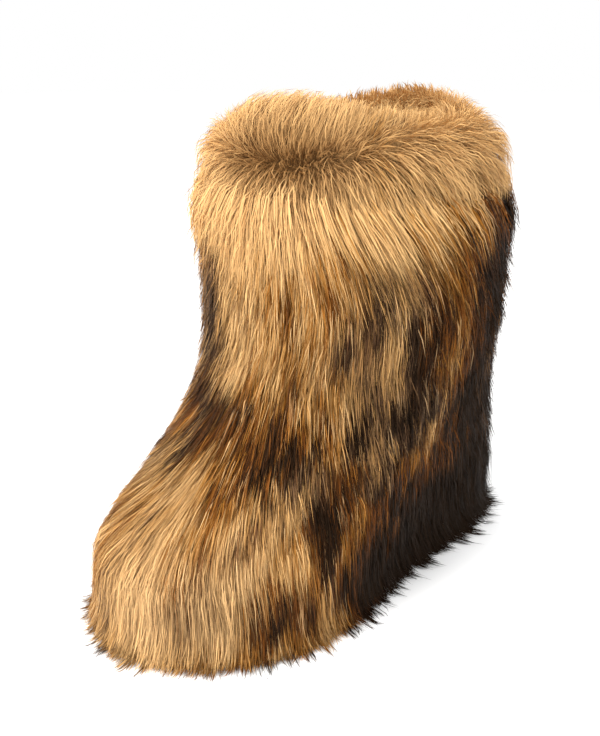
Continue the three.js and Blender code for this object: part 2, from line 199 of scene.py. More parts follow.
def downhill():
    """How far a path that runs straight down the fur moves round it, for each step along it."""
    vv, va, aa = (np.sum(p * q, -1) for p, q in ((ALONG, ALONG), (ALONG, ROUND), (ROUND, ROUND)))
    gv, ga = -ALONG[..., 2], -ROUND[..., 2]
    whole = np.maximum(vv * aa - va * va, 1e-12)
    along, round_ = (gv * aa - ga * va) / whole, (ga * vv - gv * va) / whole
    return np.clip(round_ * SCALE_A / np.maximum(-along * SCALE_V, 0.1), -2, 2)


DOWNHILL = downhill()
FLAT_OUT = unit(OUTWARD * (1, 1, 0))


def at(grid, v, a):
    """A grid's value at row places v and angles a in radians."""
    fv = np.clip(v * STEPS, 0, TOP * STEPS - 1e-6)
    fa = (a / TURN % 1) * ANGLES
    i, j = fv.astype(int), fa.astype(int) % ANGLES
    tv, ta = fv - i, fa - np.floor(fa)
    if grid.ndim == 3:
        tv, ta = tv[..., None], ta[..., None]
    k = (j + 1) % ANGLES
    return mix(mix(grid[i, j], grid[i, k], ta), mix(grid[i + 1, j], grid[i + 1, k], ta), tv)


HEM_V = 1.0  # below this row place hairs hang free to the floor
HANG = 0.022  # longest fall below the hem
FLOOR_LIFT = 0.0012


def place(v, a, depth, loose=1.0):
    """A point of the fur: depth 0 at the upper, 1 at the outline. Below the hem it hangs and spreads."""
    held = np.maximum(v, HEM_V)
    shell, fur = at(SHELL, held, a), at(FUR, held, a)
    p = mix(shell, fur, depth[..., None])
    hang = HANG * loose
    fallen = hang * (1 - np.exp(-(held - v) * at(SCALE_V, held, a) / hang))
    out = at(FLAT_OUT, held, a)
    p = p + out * (0.25 * fallen)[..., None]
    z = p[..., 2] - fallen
    low = np.maximum(FLOOR_LIFT - z, 0)
    p = p + out * (0.45 * low)[..., None]
    p[..., 2] = np.maximum(z, FLOOR_LIFT)
    return p


def before_seam(points):
    """True where a point, in metres, lies on the vamp's side of its seam."""
    y, z = points[..., 1] / MM, points[..., 2] / MM
    bend = 0.55 * SEAM_HEIGHT
    top = SHAFT_FRONT + 0.15 * SHAFT_DEPTH
    low = mix(SEAM_FOOT, SEAM_TOP, np.clip(z / bend, 0, 1))
    line = np.where(z < bend, low, mix(SEAM_TOP, top, np.clip((z - bend) / (SEAM_HEIGHT - bend), 0, 1)))
    roof = SEAM_HEIGHT + np.clip((SHAFT_FRONT - y) / PILE, 0, 2) * 0.3 * PILE
    return (y < line) & (z < roof)


# Noise and colours

def noise(a, v, cells, rows, seed):
    """Smooth repeatable noise from 0 to 1 with that many cells round the boot and rows along it."""
    fa, fv = (a / TURN % 1) * cells, np.clip(v + 2, 0, None) * rows / (TOP + 4)
    i, j = np.floor(fa), np.floor(fv)

    def value(i, j):
        s = np.sin((i % cells) * 127.1 + j * 311.7 + seed * 74.7) * 43758.5453
        return s - np.floor(s)

    ta, tv = smooth(fa - i), smooth(fv - j)
    return mix(mix(value(i, j), value(i + 1, j), ta), mix(value(i, j + 1), value(i + 1, j + 1), ta), tv)


def lumps(points, size, seed):
    """Smooth repeatable noise from 0 to 1 in space, with lumps of that size."""
    cells = points / size
    low = np.floor(cells)
    t = smooth(cells - low)
    total = 0
    for corner in np.ndindex(2, 2, 2):
        s = np.sin((low + corner) @ np.array([127.1, 311.7, 74.7]) + seed * 19.3) * 43758.5453
        weight = np.prod(np.where(np.array(corner) > 0, t, 1 - t), -1)
        total = total + weight * (s - np.floor(s))
    return total


def tone(red, green, blue):
    """A colour given as seen on a screen, from 0 to 255, as linear numbers."""
    c = np.array([red, green, blue]) / 255
    return np.where(c <= 0.04045, c / 12.92, ((c + 0.055) / 1.055) ** 2.4)


LIGHT_TAN = tone(206, 164, 109)
TAN = tone(180, 135, 79)
OCHRE = tone(156, 103, 40)
RUST = tone(124, 70, 22)
BROWN = tone(74, 42, 18)
GREY = tone(110, 84, 62)
PALE = tone(204, 168, 122)
DARK = tone(36, 22, 13)
BLACK = tone(20, 11, 6)
UMBER = tone(104, 62, 20)

# Where the plain golden collar ends: row place at each angle in degrees
COLLAR_EDGE = {
    0: 11.9, 28: 12.15, 58: 12.4, 80: 13.2, 110: 13.1, 180: 13.1,
    230: 12.9, 270: 12.7, 320: 12.5, 345: 12.3, 360: 11.9,
}

# Patches: row place, angle, half height, half width in degrees, how much darker
PATCHES = (
    # The leg
    (11.0, 48, 0.7, 5, 0.32), (9.9, 40, 0.5, 4, 0.20), (9.9, 55, 0.8, 4, -0.30), (9.4, 65, 0.8, 5, 0.16),
    (10.8, 68, 0.7, 5, 0.12), (10.6, 76, 0.9, 4, 0.10), (10.2, 85, 1.2, 4, -0.08), (8.6, 64, 0.6, 9, 0.05),
    (8.9, 76, 0.8, 4, -0.14), (11.8, 20, 0.6, 3, 0.16), (11.2, 8, 0.7, 3, 0.14), (9.6, 22, 0.9, 3, 0.14),
    (10.8, 96, 0.7, 4, -0.14), (9.9, 356, 0.5, 8, 0.10), (11.5, 90, 0.5, 4, 0.12), (8.75, 31, 0.5, 5, 0.20),
    (11.5, 348, 0.6, 6, 0.18), (9.8, 346, 0.6, 6, 0.14), (10.8, 105, 1.0, 8, 0.30), (12.7, 80, 0.5, 5, 0.20),
    (10.95, 30, 0.5, 4, -0.12), (10.9, 0, 0.6, 4, 0.10),
    # The ankle's seam
    (8.0, 4, 0.5, 17, 0.34), (7.8, 340, 0.6, 14, 0.30), (7.4, 22, 0.5, 6, 0.18), (7.5, 48, 0.6, 8, 0.06),
    (7.6, 34, 0.4, 4, -0.26), (8.9, 7, 0.4, 8, 0.03), (7.5, 60, 0.5, 5, 0.14),
    # The vamp
    (5.9, 28, 0.8, 5, 0.62), (6.8, 31, 0.6, 3.5, 0.50), (5.2, 20, 0.6, 4, 0.16), (0.95, 50, 0.7, 10, 0.46),
    (2.6, 45, 0.9, 6, 0.12), (4.7, 44, 0.9, 4, 0.24), (3.9, 8, 0.9, 3, 0.10), (4.4, 348, 1.0, 4, 0.12),
    (5.4, 16, 0.9, 8, 0.05), (7.1, 14, 0.5, 6, 0.10), (2.7, 47, 0.6, 5, -0.16), (1.6, 28, 0.6, 8, 0.30),
    (2.9, 8, 0.8, 8, 0.10), (3.9, 53, 0.8, 5, 0.12), (4.5, 58, 0.9, 4, -0.14),
    # The quarter and the heel
    (5.8, 62, 0.9, 4, -0.24), (5.9, 84, 1.1, 6, -0.26), (4.8, 62, 1.0, 3, -0.30), (3.0, 60, 0.8, 3, -0.16),
    (7.3, 90, 0.9, 4, -0.16), (2.0, 86, 0.4, 3, -0.16), (5.0, 75, 1.0, 4, 0.10),
    # The inner side and the back
    (10.2, 336, 1.0, 10, 0.32), (10.6, 300, 0.8, 9, 0.22), (9.3, 285, 1.0, 10, 0.20),
    (6.6, 300, 0.9, 8, 0.25), (4.8, 318, 0.7, 6, 0.20), (5.2, 262, 1.1, 8, -0.25),
    (10.6, 250, 1.1, 7, -0.25), (8.0, 205, 1.4, 8, -0.25), (10.8, 160, 1.2, 7, -0.28),
    (5.5, 150, 1.0, 7, -0.28), (3.4, 285, 0.8, 6, -0.16), (8.4, 320, 0.8, 7, -0.16),
)


def darkness(v, a):
    """How dark the fur is by its place, from 0, plain gold, to 1, black. Mostly the fur's own colours, with
    painted light on the collar's sides and back.
    """
    degrees = np.degrees(a) % 360
    edge = np.interp(degrees, list(COLLAR_EDGE), list(COLLAR_EDGE.values()))
    below = smooth((edge - v) / 1.0 + 0.25)
    front = np.minimum(degrees, 360 - degrees)
    inner = (degrees > 180).astype(float)
    # The leg is lightest in front and nearly black behind
    leg = np.interp(front, (0, 30, 55, 75, 95, 108, 130, 180),
                    (0.24, 0.32, 0.52, 0.62, 0.76, 0.93, 0.94, 0.88))
    leg = leg + inner * 0.22 * smooth((front - 4) / 14) * smooth((110 - front) / 60)
    seam = np.interp(v, (0, 1, 2.3, 4, 7.2, 8.2), (70, 66, 57, 48, 35, 26)) + 4 * inner
    quarter = np.interp(front, (0, 40, 75, 100, 130, 180), (0.66, 0.70, 0.76, 0.94, 1.05, 0.98))
    quarter = quarter + 0.24 * smooth((3.4 - v) / 1.6) * smooth((front - 60) / 20)
    vamp = np.interp(v, (0, 1.7, 2.9, 4.2, 5.4, 6.3, 7.2, 8.2),
                     (0.16, 0.10, 0.13, 0.17, 0.28, 0.40, 0.50, 0.54))
    vamp = vamp + 0.12 * smooth((front - 8) / 24) * smooth((7 - v) / 2) + 0.06 * inner
    foot = mix(vamp, quarter, smooth((front - seam) / 9 + 0.5))
    # Painted light: the collar is painted lighter from 60 degrees round, on its sides and back, which turn
    # away from the key lamp in front
    collar = 0.17 * smooth((front - 30) / 16) - 0.04 - 0.12 * smooth((front - 60) / 20)
    field = mix(collar, mix(foot, leg, smooth((v - 7.7) / 0.7)), below)
    for row, angle, high, wide, much in PATCHES:
        away = (degrees - angle + 180) % 360 - 180
        field = field + much * below * np.exp(-(((v - row) / high) ** 2) - (away / wide) ** 2)
    return field


def fur_colours(v, a, clump_v, clump_a, luck):
    """Root, middle and tip tones of hairs, from the place seen, and from the clump's place and its luck."""
    strands = v.size
    field = darkness(v, a)
    broad = smooth(2.2 * (noise(clump_a, clump_v, 60, 13, 1) - 0.5) + 0.5)
    narrow = smooth(2.2 * (noise(clump_a, clump_v, 150, 14, 2) - 0.5) + 0.5)
    busy = smooth((field - 0.02) / 0.3)
    calm = 1 - 0.8 * smooth((field - 0.9) / 0.25)
    uneven = (0.3 * (broad - 0.5) + 0.34 * (narrow - 0.5) + 0.13 * luck) * (0.32 + 0.68 * busy)
    level = field + (uneven + random.normal(0, 0.05, strands)) * calm
    warm = noise(clump_a, clump_v, 30, 8, 3)
    stops = (-0.4, 0.05, 0.24, 0.42, 0.58, 0.76, 0.92, 1.4)
    warm_tones = np.array([LIGHT_TAN, LIGHT_TAN, TAN, OCHRE, RUST, BROWN, BLACK, BLACK])
    cool_tones = np.array([LIGHT_TAN, LIGHT_TAN, TAN, mix(TAN, GREY, 0.5), mix(GREY, BROWN, 0.3), DARK,
                           BLACK, BLACK])
    cool = smooth((0.46 - warm) * 4 + 0.5)
    warm_part, cool_part = (np.stack([np.interp(level, stops, tones[:, k]) for k in range(3)], -1)
                            for tones in (warm_tones, cool_tones))
    middle = mix(warm_part, cool_part, cool[:, None])
    pale_toe = np.exp(-(((v - 1.5) / 1.3) ** 2) - ((((np.degrees(a) + 180 - 20) % 360 - 180) / 26) ** 2))
    middle = mix(middle, PALE, (0.55 * pale_toe * (level < 0.5))[:, None])
    cream = smooth((-1.4 - luck) / 0.3) * busy * calm * (field < 0.75)
    middle = mix(middle, PALE, (0.45 * cream)[:, None])
    middle = middle * (1 + random.normal(0, 0.07, strands) * (0.55 + 0.45 * busy))[:, None]
    plain = (1 - busy)[:, None]
    root = mix(middle * mix(0.4, 0.84, plain), UMBER * 0.6, mix(0.45, 0.13, plain))
    tipped = smooth((field - 0.08) / 0.4) * smooth((luck + random.normal(0, 0.5, strands)) / 1.4 + 0.5)
    tipped = np.maximum(tipped, (random.random(strands) < 0.05) * 0.9)
    tipped = np.maximum(tipped, smooth((1.9 - v) / 0.5) * smooth((luck - 0.9) / 0.3))
    tip = mix(middle, DARK * 0.8, (0.9 * tipped)[:, None])
    return root, middle, tip


# Hairs

SEGMENTS = 3
HAIR_WIDTH = 0.56 * MM
BLADE = np.array([0.8, 1.0, 0.8])  # width of a blade at its joints, of its full width
CLUMP_SPREAD = 2.3 * MM  # how far a clump's hairs stand from its middle
LOWEST_V = 0.25  # no hair's root lies below this row place
GUARD_LUCK = 1.1  # clumps luckier than this are long guard hair
COLUMNS_UV = 512


def roots(v_low, v_high, clumps, keep=None):
    """Clump places spread evenly over the fur's outline between two row places."""
    area = SCALE_V * SCALE_A
    v_grid = np.broadcast_to(ROWS_V[:, None], area.shape)
    weight = np.where((v_grid >= v_low) & (v_grid <= v_high), area, 0)
    if keep is not None:
        weight = weight * keep(FUR)
    cells = random.choice(weight.size, clumps, p=(weight / weight.sum()).ravel())
    v = ROWS_V[cells // ANGLES] + (random.random(clumps) - 0.5) / STEPS
    a = ROWS_A[cells % ANGLES] + (random.random(clumps) - 0.5) * TURN / ANGLES
    return v, a


LYING = (0.24, 0.35, 0.41, 0.0)  # share of the way along the fur that each piece of a hair covers


def combed(v, a, travel, start, end, fling, drift, wave, gravity, loose):
    """Paths that leave the upper outward and lie down along the fur, and the places that they pass."""
    points, rows, angles = [], [], []
    lift = 1.9 + 2.4 * smooth((v - 12.8) / 1.2)
    for k in range(SEGMENTS + 1):
        s = k / SEGMENTS
        depth = start + (end - start) * (1 - (1 - s) ** lift) + fling * s ** 3
        points.append(place(v, a, depth, loose))
        rows.append(v)
        angles.append(a)
        sway = drift + wave * math.sin(2.3 * k + 0.6) + gravity * at(DOWNHILL, v, a)
        step = travel * LYING[k] / np.sqrt(1 + sway ** 2)
        v = v - step / np.maximum(at(SCALE_V, v, a), 0.004)
        a = a + sway * step / at(SCALE_A, v, a)
    return np.stack(points, 1), np.stack(rows, 1), np.stack(angles, 1)


# No tip stands further out than this from the solids' own box
PROUD = 0.0165
REACH = np.array([[cad_box[0][0] - PROUD, cad_box[0][1] - PROUD, 0.0004], np.array(cad_box[1]) + PROUD])


def strands_mesh(name, paths, across, width, root, middle, tip):
    """One mesh of tapered blades. across: the way each blade's width runs. Tones run from root to tip."""
    count = len(paths)
    tangent = unit(np.gradient(paths, axis=1))
    across = across[:, None, :]
    side = unit(across - tangent * np.sum(tangent * across, -1, keepdims=True))
    half = (width[:, None] * BLADE / 2)[..., None]
    left = paths[:, :SEGMENTS] - side[:, :SEGMENTS] * half
    right = paths[:, :SEGMENTS] + side[:, :SEGMENTS] * half
    pairs = np.stack([left, right], 2).reshape(count, 2 * SEGMENTS, 3)
    vertices = np.concatenate([pairs, paths[:, -1:]], 1)
    vertices = np.clip(vertices, *REACH)
    each = 2 * SEGMENTS + 1
    quads = np.array([[2 * k, 2 * k + 1, 2 * k + 3, 2 * k + 2] for k in range(SEGMENTS - 1)])
    last = np.array([2 * SEGMENTS - 2, 2 * SEGMENTS - 1, 2 * SEGMENTS])
    corners = np.concatenate([quads.ravel(), last])
    offsets = np.arange(count)[:, None] * each
    loops = (corners[None, :] + offsets).ravel()
    sizes = np.tile(np.array([4] * (SEGMENTS - 1) + [3]), count)
    starts = np.concatenate([[0], np.cumsum(sizes)[:-1]])

    mesh = bpy.data.meshes.new(name)
    mesh.vertices.add(count * each)
    mesh.vertices.foreach_set("co", vertices.astype(np.float32).ravel())
    mesh.loops.add(len(loops))
    mesh.loops.foreach_set("vertex_index", loops.astype(np.int32))
    mesh.polygons.add(len(sizes))
    mesh.polygons.foreach_set("loop_start", starts.astype(np.int32))
    mesh.polygons.foreach_set("use_smooth", np.ones(len(sizes), bool))

    s = np.concatenate([np.repeat(np.arange(SEGMENTS), 2), [SEGMENTS]]) / SEGMENTS
    up = smooth(s / 0.42)[None, :, None]
    out = smooth((s - 0.4) / 0.5)[None, :, None]
    colour = mix(mix(root[:, None], middle[:, None], up), tip[:, None], out)
    layer = mesh.color_attributes.new("fur", "FLOAT_COLOR", "POINT")
    rgba = np.concatenate([np.clip(colour, 0, 1), np.ones((count, each, 1))], -1)
    layer.data.foreach_set("color", rgba.astype(np.float32).ravel())

    # Each blade has a strip of its own in the map
    lines = math.ceil(count / COLUMNS_UV)
    index = np.arange(count)
    u0, v0 = (index % COLUMNS_UV) / COLUMNS_UV, (index // COLUMNS_UV) / lines
    over = np.concatenate([np.tile([0.12, 0.88], SEGMENTS), [0.5]])
    along = s * 0.94 + 0.03
    uv = np.stack([u0[:, None] + over / COLUMNS_UV, v0[:, None] + along / lines], -1)
    layer = mesh.uv_layers.new(name="OFBake")
    layer.data.foreach_set("uv", uv.reshape(-1, 2)[loops].astype(np.float32).ravel())
    mesh.update(calc_edges=True)
    mesh.validate()
    obj = bpy.data.objects.new(name, mesh)
    bpy.context.scene.collection.objects.link(obj)
    return obj


def scattered(ways, much):
    """Directions turned at random by about that much."""
    return unit(ways + random.normal(0, much, ways.shape))


def gather(paths, leaders, pull):
    """Draws hairs towards their clump's own path, most at the tips."""
    s = np.linspace(0, 1, SEGMENTS + 1)[None, :, None] ** 1.6
    return paths + (leaders - paths) * s * pull[:, None, None]


def pile(name, v_low, v_high, clumps, per_clump, travel, keep=None, drift=None, gravity=0.0, tuft=1.0):
    """A field of combed hairs between two row places, in clumps."""
    v, a = roots(v_low, v_high, clumps, keep)
    count = clumps * per_clump
    own = np.repeat(np.arange(clumps), per_clump)
    aside = random.normal(0, 1, count) * CLUMP_SPREAD / np.maximum(at(SCALE_V, v, a), 0.006)[own]
    hv = np.clip(v[own] + aside, LOWEST_V, TOP)
    ha = a[own] + random.normal(0, 1, count) * CLUMP_SPREAD / at(SCALE_A, v, a)[own]
    sway = drift(v, a) if drift else np.zeros(clumps)
    sway = sway + random.normal(0, 0.05, clumps)
    start = 0.55 + 0.2 * random.random(count)
    far = 0.93 + 0.13 * random.random(clumps)
    end = far[own] + random.normal(0, 0.035, count) - 0.22 * random.random(count) ** 3
    often = 0.07 + 0.16 * smooth((1 - np.cos(ha) - 0.8) / 0.6)
    fling = 0.26 * random.random(count) * (random.random(count) < often)
    luck = random.normal(0, 1, clumps)
    guard = luck > GUARD_LUCK
    loose = 0.75 + 0.5 * random.random(clumps) ** 2.5 + 0.6 * guard
    reach = travel * MM * (0.8 + 0.4 * random.random(clumps))
    hair_reach = reach[own] * (0.72 + 0.42 * random.random(count))
    wave = random.normal(0, 0.035, count)
    own_sway = sway[own] + random.normal(0, 0.05, count)
    own_loose = loose[own] * (0.85 + 0.3 * random.random(count))
    paths, rows, angles = combed(hv, ha, hair_reach, start, end, fling, own_sway, wave, gravity, own_loose)
    lead, _, _ = combed(v, a, reach, np.full(clumps, 0.6), far, 0.0, sway, np.zeros(clumps), gravity, loose)
    paths = gather(paths, lead[own], tuft * (0.2 + 0.45 * random.random(count)))
    seen = 0.4 * rows[:, 2] + 0.6 * rows[:, 3]
    root, middle, tip = fur_colours(seen, angles[:, 2], v[own], a[own], luck[own])
    outward = at(OUTWARD, np.clip(rows[:, 2], HEM_V, TOP), angles[:, 2])
    broad = HAIR_WIDTH * (0.6 + 0.8 * random.random(count))
    across = unit(np.cross(paths[:, 3] - paths[:, 1], scattered(outward, 0.45)))
    return strands_mesh(name, paths, across, broad, root, middle, tip)


# The collar's rim: hairs that leave the top edge outward, up and inward

EDGE_CENTRE = SHELL[-1] - FLAT_OUT[-1] * (WALL / 2 * MM)
EDGE_OUT = np.linalg.norm((FUR[-1] - SHELL[-1])[:, :2], axis=-1)


def round_edge(grid, a):
    """A value of one row of the grid at angles a."""
    fa = (a / TURN % 1) * ANGLES
    j = fa.astype(int) % ANGLES
    t = fa - np.floor(fa)
    if grid.ndim == 2:
        t = t[..., None]
    return mix(grid[j], grid[(j + 1) % ANGLES], t)


def over_edge(a, turn, share):
    """A point over the top edge. turn: 0 outward, 90 degrees up, 180 inward. share: of the way out."""
    out = round_edge(FLAT_OUT[-1], a)
    reach = np.where(np.cos(turn) > 0, round_edge(EDGE_OUT, a), 1.5 * INNER_PILE * MM)
    flat = reach * np.cos(turn) * share
    rise = CREST_RISE * MM * np.sin(turn) * share
    p = round_edge(EDGE_CENTRE, a) + out * flat[..., None]
    p[..., 2] += rise
    return p


PARTING = math.radians(10)  # angle at which the collar's hair parts


def from_parting(a):
    return (a - PARTING + math.pi) % TURN - math.pi


def parting_drift(v, a):
    """The collar's hair falls away to both sides of its parting."""
    away = from_parting(a)
    return 1.25 * np.sin(away) * np.exp(-((away / 1.5) ** 2)) * smooth((v - 11.6) / 2.4)


def crease(a):
    """Radians above level at which hairs part over the edge: low at the parting, high elsewhere."""
    return mix(0.2, 1.3, smooth((np.abs(from_parting(a)) - 0.1) / 1.1))


def rim_bend(turn, line):
    """How far a hair bends away from that line."""
    above = mix(0.95, 0.3, smooth((turn - 0.7) / 1.1))
    below = mix(0.85, 0.6, smooth((line - 0.4) / 0.7))
    return np.where(turn > line, np.minimum(above, below), below) * np.tanh((turn - line) / 0.4)


def rim_pile(name, clumps, per_clump):
    """Hairs all the way over the top edge, which bend away from the line where they part."""
    a = random.random(clumps) * TURN
    low = random.random(clumps) < 0.42
    turn = np.radians(np.where(low, -34 + 68 * random.random(clumps), 34 + 134 * random.random(clumps)))
    # More of them stand where the hairs part
    kind = random.random(clumps)
    a = np.where(kind < 0.05, PARTING + random.normal(0.1, 0.3, clumps), a)
    turn = np.where(kind < 0.3, crease(a) + random.normal(0, 0.26, clumps), turn)
    count = clumps * per_clump
    own = np.repeat(np.arange(clumps), per_clump)
    ha = a[own] + random.normal(0, 0.032, count)
    start = np.clip(turn[own] + random.normal(0, 0.07, count), -0.65, 3.0)
    line = crease(ha) + random.normal(0, 0.14, clumps)[own]
    bend = rim_bend(start, line) + random.normal(0, 0.06, clumps)[own] + random.normal(0, 0.05, count)
    lean = parting_drift(np.full(clumps, float(TOP)), a)[own] * 0.7 + random.normal(0, 0.12, count)
    length = (0.9 + 0.16 * random.random(clumps))[own] * (0.86 + 0.2 * random.random(count))

    def path(a0, start, bend, lean, length):
        points = []
        for k in range(SEGMENTS + 1):
            s = k / SEGMENTS
            share = (0.58 + 0.42 * (1 - (1 - s) ** 1.7)) * length
            points.append(over_edge(a0 + lean * 0.34 * s * s, start + bend * s ** 1.5, share))
        return np.stack(points, 1)

    paths = path(ha, start, bend, lean, length)
    lead = path(a, turn, rim_bend(turn, crease(a)), np.zeros(clumps), np.full(clumps, 0.98))
    paths = gather(paths, lead[own], 0.1 + 0.3 * random.random(count))
    high = np.full(count, float(TOP))
    luck = random.normal(0, 1, clumps)
    root, middle, tip = fur_colours(high, ha, high + 0.8 * turn[own], a[own], luck[own])
    # Painted light: hairs that lean into the mouth are mixed a little towards tan, and their roots are
    # painted much lighter, to lift the shade inside the mouth
    mouth_painted_light = smooth((start - 1.5) / 0.9)[:, None]
    middle, tip = mix(middle, TAN, 0.3 * mouth_painted_light), mix(tip, TAN, 0.3 * mouth_painted_light)
    root = mix(root, middle, 0.7 * mouth_painted_light)
    # Round the parting the hairs' middles and tips are painted umber: partly the darker roots that show
    # there, partly painted shade in the parting's depth
    aside = from_parting(ha)
    near = np.exp(-((aside / np.where(aside > 0, 0.6, 0.3)) ** 2))
    shown = (np.exp(-(((start - line) / 0.4) ** 2)) * (0.06 + 0.84 * near))[:, None]
    tip = mix(tip, UMBER, 0.7 * shown)
    middle = mix(middle, UMBER, shown)
    broad = HAIR_WIDTH * (0.6 + 0.8 * random.random(count))
    across = scattered(round_edge(unit(ROUND[-1]), ha), 0.4)
    return strands_mesh(name, paths, across, broad, root * 0.9, middle, tip)


# Materials

def new_material(name, roughness=0.6):
    mat = bpy.data.materials.new(name)
    mat.use_nodes = True
    nodes = mat.node_tree.nodes
    shader = nodes["Principled BSDF"]
    shader.inputs["Roughness"].default_value = roughness
    return mat, nodes, mat.node_tree.links, shader


def fur_material(name):
    mat, nodes, links, shader = new_material(name, 0.5)
    colour = nodes.new("ShaderNodeAttribute")
    colour.attribute_name = "fur"
    where = nodes.new("ShaderNodeTexCoord")
    grain = nodes.new("ShaderNodeTexNoise")
    grain.inputs["Scale"].default_value = 900
    grain.inputs["Detail"].default_value = 2
    links.new(where.outputs["Object"], grain.inputs["Vector"])
    level = nodes.new("ShaderNodeMapRange")
    level.inputs["To Min"].default_value = 0.78
    level.inputs["To Max"].default_value = 1.2
    links.new(grain.outputs["Fac"], level.inputs["Value"])
    shade = nodes.new("ShaderNodeVectorMath")
    shade.operation = "SCALE"
    links.new(colour.outputs["Color"], shade.inputs[0])
    links.new(level.outputs["Result"], shade.inputs["Scale"])
    links.new(shade.outputs["Vector"], shader.inputs["Base Color"])
    shader.inputs["Specular IOR Level"].default_value = 0.12
    shader.inputs["Specular Tint"].default_value = (0.95, 0.66, 0.4, 1)
    return mat


def textured(name, dark, light, scale, roughness, bump, depth, stretch=(1, 1, 1), attribute=None):
    """A material whose noise of that scale colours, roughens and raises the surface."""
    mat, nodes, links, shader = new_material(name)
    where = nodes.new("ShaderNodeTexCoord")
    mapping = nodes.new("ShaderNodeMapping")
    mapping.inputs["Scale"].default_value = stretch
    links.new(where.outputs["Object"], mapping.inputs["Vector"])
    grain = nodes.new("ShaderNodeTexNoise")
    grain.inputs["Scale"].default_value = scale
    grain.inputs["Detail"].default_value = 5
    grain.inputs["Roughness"].default_value = 0.62
    links.new(mapping.outputs["Vector"], grain.inputs["Vector"])
    ramp = nodes.new("ShaderNodeValToRGB")
    ramp.color_ramp.elements[0].position = 0.36
    ramp.color_ramp.elements[1].position = 0.66
    ramp.color_ramp.elements[0].color = (*dark, 1)
    ramp.color_ramp.elements[1].color = (*light, 1)
    links.new(grain.outputs["Fac"], ramp.inputs["Fac"])
    if attribute:
        colour = nodes.new("ShaderNodeAttribute")
        colour.attribute_name = attribute
        product = nodes.new("ShaderNodeVectorMath")
        product.operation = "MULTIPLY"
        links.new(colour.outputs["Color"], product.inputs[0])
        links.new(ramp.outputs["Color"], product.inputs[1])
        links.new(product.outputs["Vector"], shader.inputs["Base Color"])
    else:
        links.new(ramp.outputs["Color"], shader.inputs["Base Color"])
    rough = nodes.new("ShaderNodeMapRange")
    rough.inputs["To Min"].default_value = roughness[0]
    rough.inputs["To Max"].default_value = roughness[1]
    links.new(grain.outputs["Fac"], rough.inputs["Value"])
    links.new(rough.outputs["Result"], shader.inputs["Roughness"])
    relief = nodes.new("ShaderNodeBump")
    relief.inputs["Strength"].default_value = bump
    relief.inputs["Distance"].default_value = depth
    links.new(grain.outputs["Fac"], relief.inputs["Height"])
    links.new(relief.outputs["Normal"], shader.inputs["Normal"])
    return mat, shader


def dress(obj, mat):
    obj.data.materials.clear()
    obj.data.materials.append(mat)
    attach(obj, ROOT)
    return obj


# The under-fur: closed forms below the hairs, so that no light comes through

def mesh_object(name, points, faces, rounded=True):
    """A new object in the scene, from lists of points and faces."""
    mesh = bpy.data.meshes.new(name)
    mesh.from_pydata(points, [], faces)
    mesh.polygons.foreach_set("use_smooth", np.full(len(faces), rounded))
    mesh.update()
    obj = bpy.data.objects.new(name, mesh)
    bpy.context.scene.collection.objects.link(obj)
    return obj


def grid_mesh(name, rows):
    """A closed band from rows of points round the boot."""
    rows = np.asarray(rows)
    count, wide, _ = rows.shape
    i = np.arange(count)[:, None]
    j = np.arange(wide)[None, :]
    a = i * wide + j
    b = i * wide + (j + 1) % wide
    c = ((i + 1) % count) * wide + (j + 1) % wide
    d = ((i + 1) % count) * wide + j
    faces = np.stack([a, b, c, d], -1).reshape(-1, 4)
    return mesh_object(name, rows.reshape(-1, 3).tolist(), faces.tolist())


def paint(obj, colours):
    layer = obj.data.color_attributes.new("fur", "FLOAT_COLOR", "POINT")
    rgba = np.concatenate([np.clip(colours, 0, 1), np.ones((len(colours), 1))], -1)
    layer.data.foreach_set("color", rgba.astype(np.float32).ravel())


UNDER_DEPTH = 0.76
UNDER_CREST = 0.84
UNDER_ANGLES = 120
UNDER_ROWS = 14  # rows up the collar, and as many over its edge
SLAB_LOW, SLAB_HIGH, SLAB_ROWS = 0.35, 11.75, 58
LINING_LOW, LINING_HIGH, LINING_ROWS = 1.15, 12.9, 62


def under_colours(v, a, share):
    v, a = v.ravel(), a.ravel()
    root, middle, _ = fur_colours(v, a, v, a, np.zeros(v.size))
    return mix(root, middle, share) * 0.7


def collar_under():
    a = np.arange(UNDER_ANGLES) * TURN / UNDER_ANGLES
    full = np.ones(UNDER_ANGLES)
    rows, places = [], []
    for v in np.linspace(11.3, TOP, UNDER_ROWS):
        rows.append(place(full * v, a, full * UNDER_DEPTH))
        places.append(v)
    for turn in np.linspace(12, 172, UNDER_ROWS):
        depth = mix(UNDER_DEPTH, UNDER_CREST, smooth((turn - 10) / 50))
        rows.append(over_edge(a, full * math.radians(turn), full * depth))
        places.append(TOP)
    inner_face = at(SHELL, full * (TOP - 1), a) - at(FLAT_OUT, full * (TOP - 1), a) * (WALL + GAP + 1) * MM
    rows.append(mix(rows[-1], inner_face, 0.5))
    rows.append(inner_face)
    places += [TOP, TOP - 1]
    for v in (TOP - 1, TOP - 0.2):
        rows.append(at(SHELL, full * v, a) - at(FLAT_OUT, full * v, a) * (WALL + GAP) * MM)
        places.append(v)
    over = at(SHELL, full * TOP, a)
    rows.append(over + np.array([0, 0, 2 * GAP * MM]))
    places.append(TOP)
    for v in (TOP - 1, 12.1):
        rows.append(at(SHELL, full * v, a) + at(FLAT_OUT, full * v, a) * 2 * GAP * MM)
        places.append(v)
    obj = grid_mesh("collar_underfur", rows)
    v = np.repeat(places, UNDER_ANGLES)
    a = np.tile(a, len(rows))
    # Painted shade: near the parting the under-fur is painted dark umber, most at the top, partly for the
    # darker roots there and partly for the shade in the parting's depth
    near = smooth((v - 12.6) / 1.2) * np.exp(-((from_parting(a) / 0.7) ** 2))
    paint(obj, mix(under_colours(v, a, 0.5), UMBER * 0.6, (0.7 * near)[:, None]))
    return obj


